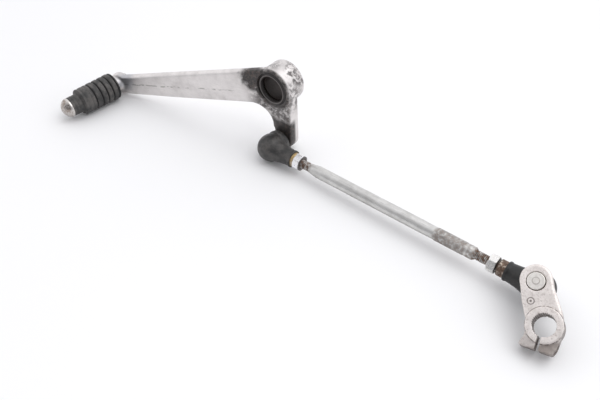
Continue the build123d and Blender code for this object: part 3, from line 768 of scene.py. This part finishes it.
# ------------------------------------------------------------------- boots
STEM_HOLE_RADIUS = 4.8
STEM_HOLE_DEPTH = 10.0


def cut_stem_hole(ob, ball, stem_axis):
    """Open the ball's wall where the rod end's stem comes out."""
    place = stem_axis.to_track_quat("Z", "Y").to_matrix().to_4x4()
    place.translation = (ball + stem_axis * 9.0) * MM
    bm = bmesh.new()
    radius = STEM_HOLE_RADIUS * MM
    bmesh.ops.create_cone(
        bm,
        cap_ends=True,
        segments=48,
        radius1=radius,
        radius2=radius,
        depth=STEM_HOLE_DEPTH * MM,
        matrix=place,
    )
    mesh = bpy.data.meshes.new(ob.name + "_stem_hole")
    bm.to_mesh(mesh)
    bm.free()
    cutter = bpy.data.objects.new(mesh.name, mesh)
    bpy.context.scene.collection.objects.link(cutter)
    mod = ob.modifiers.new("stem_hole", "BOOLEAN")
    mod.operation = "DIFFERENCE"
    mod.solver = "EXACT"
    mod.object = cutter
    apply_modifiers(ob)
    bpy.data.objects.remove(cutter)
    bpy.data.meshes.remove(mesh)


def boot(name, ball, stud_axis, stem_axis, size, material):
    """Ball-shaped cover with a lipped mouth towards the stud and a sleeve along the stem."""
    seat_axis = (stud_axis - stem_axis * stud_axis.dot(stem_axis)).normalized()
    shell = arc((0, 0), size, -90, 8, 30)
    shell += [(size - 0.42, 1.9), (size - 0.14, 2.3), (size - 0.3, 3.0), (size - 0.8, 3.45)]
    shell += [(size - 0.7, 4.0), (8.4, 4.9), (8.15, 5.5), (8.3, 6.1), (8.75, 6.7), (8.8, 7.3)]
    shell += [(8.35, 7.8), (8.15, 8.2), (8.35, 8.7), (8.3, 9.3), (7.7, 9.7), (6.4, 9.75)]
    shell += [(5.7, 9.5), (5.65, 7.4)]
    shell += arc((0, 0), 8.7, 49, -90, 30)
    ball_skin = lathe(name + "_ball", ball, seat_axis, stem_axis, shell, 64)
    sleeve = [
        (5.02, 7.2),
        (7.0, 5.6),
        (7.55, 6.0),
        (7.05, 8.0),
        (6.55, 10.0),
        (6.15, 12.4),
        (5.85, 14.8),
        (5.6, 17.2),
        (5.6, 17.9),
        (5.92, 18.25),
        (5.95, 18.9),
        (5.9, 19.5),
        (5.6, 19.78),
        (5.02, 19.78),
    ]
    sleeve_skin = lathe(name + "_sleeve", ball, stem_axis, seat_axis, sleeve, 64)
    ob = join(name, [ball_skin, sleeve_skin])

    def free(p):
        rel = p - np.array(ball)
        along = rel @ np.array(stem_axis)
        return np.clip((15.5 - along) / 2.0, 0.15, 1.0)

    voxel_skin(ob, 0.3, 5, 0.5, free)
    cut_stem_hole(ob, ball, stem_axis)
    return wear(ob, material)


near_boot = boot("lever_boot_skin", LEVER_BALL, BACK, ROD_AXIS, 9.55, MAT_BOOT)
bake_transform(near_boot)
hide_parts("lever_joint_boot")

far_boot = boot("arm_boot_skin", ARM_BALL, ARM_AXIS, -ROD_AXIS, 9.2, MAT_BOOT_SHADED)
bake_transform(far_boot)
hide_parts("arm_joint_boot")


# --------------------------------------------------------------------- rod
# stations along the rod, measured from the ball on the pedal's side
ROD_START = 12.4
NEAR_THREAD_END = 33.3
NEAR_TAPER_END = 39.9
KNURL_START = 127.6
KNURL_END = 147.8
FAR_TAPER_START = 153.1
FAR_THREAD_START = 154.6
ROD_END = ROD_SPAN - ROD_START
BAR_RADIUS = 4.0
THREAD_TOP = 2.95
THREAD_ROOT = 2.42
KNURL_ROOT = 3.86


def triangle(t):
    t = t - math.floor(t)
    return 1 - abs(2 * t - 1)


def thread_radius(s, turn):
    """Right-hand thread on the pedal's end, left-hand on the other, 1 mm pitch."""
    hand = 1 if s < ROD_SPAN / 2 else -1
    crest = min(1.0, triangle(s - hand * turn) * 1.35)
    end = min(s - ROD_START, ROD_END - s)
    top = THREAD_TOP if end > 0.5 else THREAD_TOP - 0.5 + end
    if NEAR_THREAD_END - 1.0 < s < NEAR_THREAD_END or FAR_THREAD_START < s < FAR_THREAD_START + 0.8:
        crest *= 0.5
    return min(top, THREAD_ROOT + (THREAD_TOP - THREAD_ROOT) * crest)


def rod_radius(s, a):
    turn = a / (2 * math.pi)
    if s < NEAR_THREAD_END or s > FAR_THREAD_START:
        return thread_radius(s, turn)
    step = BAR_RADIUS - THREAD_TOP
    if s < NEAR_TAPER_END:
        return THREAD_TOP + step * (s - NEAR_THREAD_END) / (NEAR_TAPER_END - NEAR_THREAD_END)
    if KNURL_START <= s <= KNURL_END:
        teeth = 30
        one = triangle(turn * teeth + s * 0.78)
        two = triangle(turn * teeth - s * 0.78)
        fade = min(1.0, (s - KNURL_START) / 0.8, (KNURL_END - s) / 0.8)
        return KNURL_ROOT + 0.26 * fade * min(1.0, min(one, two) * 1.4)
    if s > FAR_TAPER_START:
        return BAR_RADIUS - step * (s - FAR_TAPER_START) / (FAR_THREAD_START - FAR_TAPER_START)
    return BAR_RADIUS


def spread(start, end, step):
    count = max(1, int(round((end - start) / step)))
    return [start + (end - start) * i / count for i in range(count)]


thread_step = 0.14
rod_stations = (
    spread(ROD_START, NEAR_THREAD_END, thread_step)
    + spread(NEAR_THREAD_END, NEAR_TAPER_END, 1.1)
    + spread(NEAR_TAPER_END, KNURL_START, 8.0)
    + spread(KNURL_START, KNURL_END, 0.21)
    + spread(KNURL_END, FAR_TAPER_START, 1.3)
    + spread(FAR_TAPER_START, FAR_THREAD_START, 0.5)
    + spread(FAR_THREAD_START, ROD_END, thread_step)
    + [ROD_END]
)
rod_around = 150
rod = tube_grid("tie_rod_bar", LEVER_BALL, ROD_AXIS, BACK, rod_stations, rod_radius, rod_around)
tidy_normals(rod)
wear(rod, MAT_ROD)
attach(rod, "rod")
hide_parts("shift_rod")


# -------------------------------------------------------------------- nuts
NUT_HALF_FLATS = 5.0
NUT_THICK = 5.2
NUT_BORE = 3.02
NUT_BORE_CHAMFER = 0.35


def nut(name, start, spin, material):
    """Hexagon nut with coned corners and a chamfered bore."""
    x, y, z = basis(ROD_AXIS, BACK)
    origin = LEVER_BALL + ROD_AXIS * start
    around = 96
    verts, faces, rows = [], [], []
    levels = [0.0, 0.08, 0.2, 0.34, 0.5, 0.7, 1.0, 2.6]
    levels += [4.2, 4.5, 4.7, 4.86, 5.0, 5.12, NUT_THICK]
    mouth = 3.35
    profile = [(h, None) for h in levels]
    profile += [(NUT_THICK, mouth), (NUT_THICK - NUT_BORE_CHAMFER, NUT_BORE)]
    profile += [(NUT_BORE_CHAMFER, NUT_BORE), (0.0, mouth)]
    for h, fixed in profile:
        row = []
        for i in range(around):
            a = 2 * math.pi * i / around
            if fixed is None:
                facet = (a - spin) % (math.pi / 3) - math.pi / 6
                flat = NUT_HALF_FLATS / math.cos(facet)
                cone = 4.72 + min(h, NUT_THICK - h) * 1.7
                r = min(flat, cone, 5.6)
            else:
                r = fixed
            verts.append(origin + z * h + (x * math.cos(a) + y * math.sin(a)) * r)
            row.append(len(verts) - 1)
        rows.append(row)
    for lower, upper in zip(rows, rows[1:] + rows[:1]):
        for i in range(around):
            k = (i + 1) % around
            faces.append((lower[i], lower[k], upper[k], upper[i]))
    ob = new_object(name, verts, faces)
    tidy_normals(ob)
    ob.data.polygons.foreach_set("use_smooth", [False] * len(ob.data.polygons))
    bevel = ob.modifiers.new("ease", "BEVEL")
    bevel.width = 0.12 * MM
    bevel.segments = 2
    bevel.limit_method = "ANGLE"
    bevel.angle_limit = math.radians(28)
    made = apply_modifiers(ob)
    made.polygons.foreach_set("use_smooth", [True] * len(made.polygons))
    made.set_sharp_from_angle(angle=math.radians(22))
    return wear(ob, material)


near_nut = nut("near_locknut", 21.6, 0.25, MAT_NUT_NEAR)
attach(near_nut, "lever_nut")
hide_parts("lever_locknut")
far_nut = nut("far_locknut", ROD_SPAN - 25.2 - NUT_THICK, 0.05, MAT_NUT_FAR)
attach(far_nut, "arm_nut")
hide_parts("arm_locknut")


# ------------------------------------------------------------ floor, light
def floor_material():
    s = Shader("studio_floor")
    colour = s.mix(s.noise(0.004, 2.0), (0.93, 0.93, 0.935), (0.95, 0.95, 0.955))
    return s.finish(colour, 0.0, 0.85)


FLOOR_HALF = 3000.0
floor_corners = [(x * FLOOR_HALF, y * FLOOR_HALF, FLOOR_Z) for x, y in ((-1, -1), (1, -1), (1, 1), (-1, 1))]
floor = new_object("studio_floor", floor_corners, [(0, 1, 2, 3)], smooth=False)
wear(floor, floor_material())

world = bpy.data.worlds.new("studio")
bpy.context.scene.world = world
world.use_nodes = True
wt = world.node_tree
background = wt.nodes["Background"]
# a white room that is greyer low on one side, so that the metal has something dark to mirror
direction = wt.nodes.new("ShaderNodeTexCoord")
across_sky = wt.nodes.new("ShaderNodeVectorMath")
across_sky.operation = "DOT_PRODUCT"
wt.links.new(direction.outputs["Generated"], across_sky.inputs[0])
across_sky.inputs[1].default_value = Vector((0.45, -0.86, 0.22)).normalized()
shade = wt.nodes.new("ShaderNodeValToRGB")
wt.links.new(across_sky.outputs["Value"], shade.inputs["Fac"])
shade.color_ramp.elements[0].position = 0.20
shade.color_ramp.elements[0].color = (0.98, 0.98, 1.0, 1)
shade.color_ramp.elements[1].position = 0.80
shade.color_ramp.elements[1].color = (0.32, 0.32, 0.335, 1)
wt.links.new(shade.outputs["Color"], background.inputs["Color"])
background.inputs["Strength"].default_value = 1.1


def area(name, place, target, size, energy):
    light = bpy.data.lights.new(name, "AREA")
    light.shape = "RECTANGLE"
    light.size, light.size_y = size
    light.energy = energy
    ob = bpy.data.objects.new(name, light)
    ob.location = place
    ob.rotation_euler = (Vector(target) - Vector(place)).to_track_quat("-Z", "Y").to_euler()
    bpy.context.scene.collection.objects.link(ob)
    return ob


area("key", (0.45, 0.20, 1.10), (0.05, -0.02, -0.04), (1.2, 1.0), 4.5)

# ------------------------------------------------------------------ camera
camera_data = bpy.data.cameras.new("view")
camera_data.sensor_width = 36.0
camera_data.lens = 41.97
camera_data.clip_start = 0.01
camera = bpy.data.objects.new("view", camera_data)
bpy.context.scene.collection.objects.link(camera)
look = Vector((-0.4530, 0.5532, -0.6991)).normalized()
right = Vector((0.7737, 0.6336, 0.0)).normalized()
up = right.cross(look)
turn = Matrix((right, up, -look)).transposed().to_4x4()
camera.matrix_world = Matrix.Translation(Vector((0.25125, -0.28659, 0.26573))) @ turn
bpy.context.scene.camera = camera
bpy.context.scene.view_settings.view_transform = "Standard"
bpy.context.scene.view_settings.look = "None"
bpy.context.scene.view_settings.exposure = 0.0
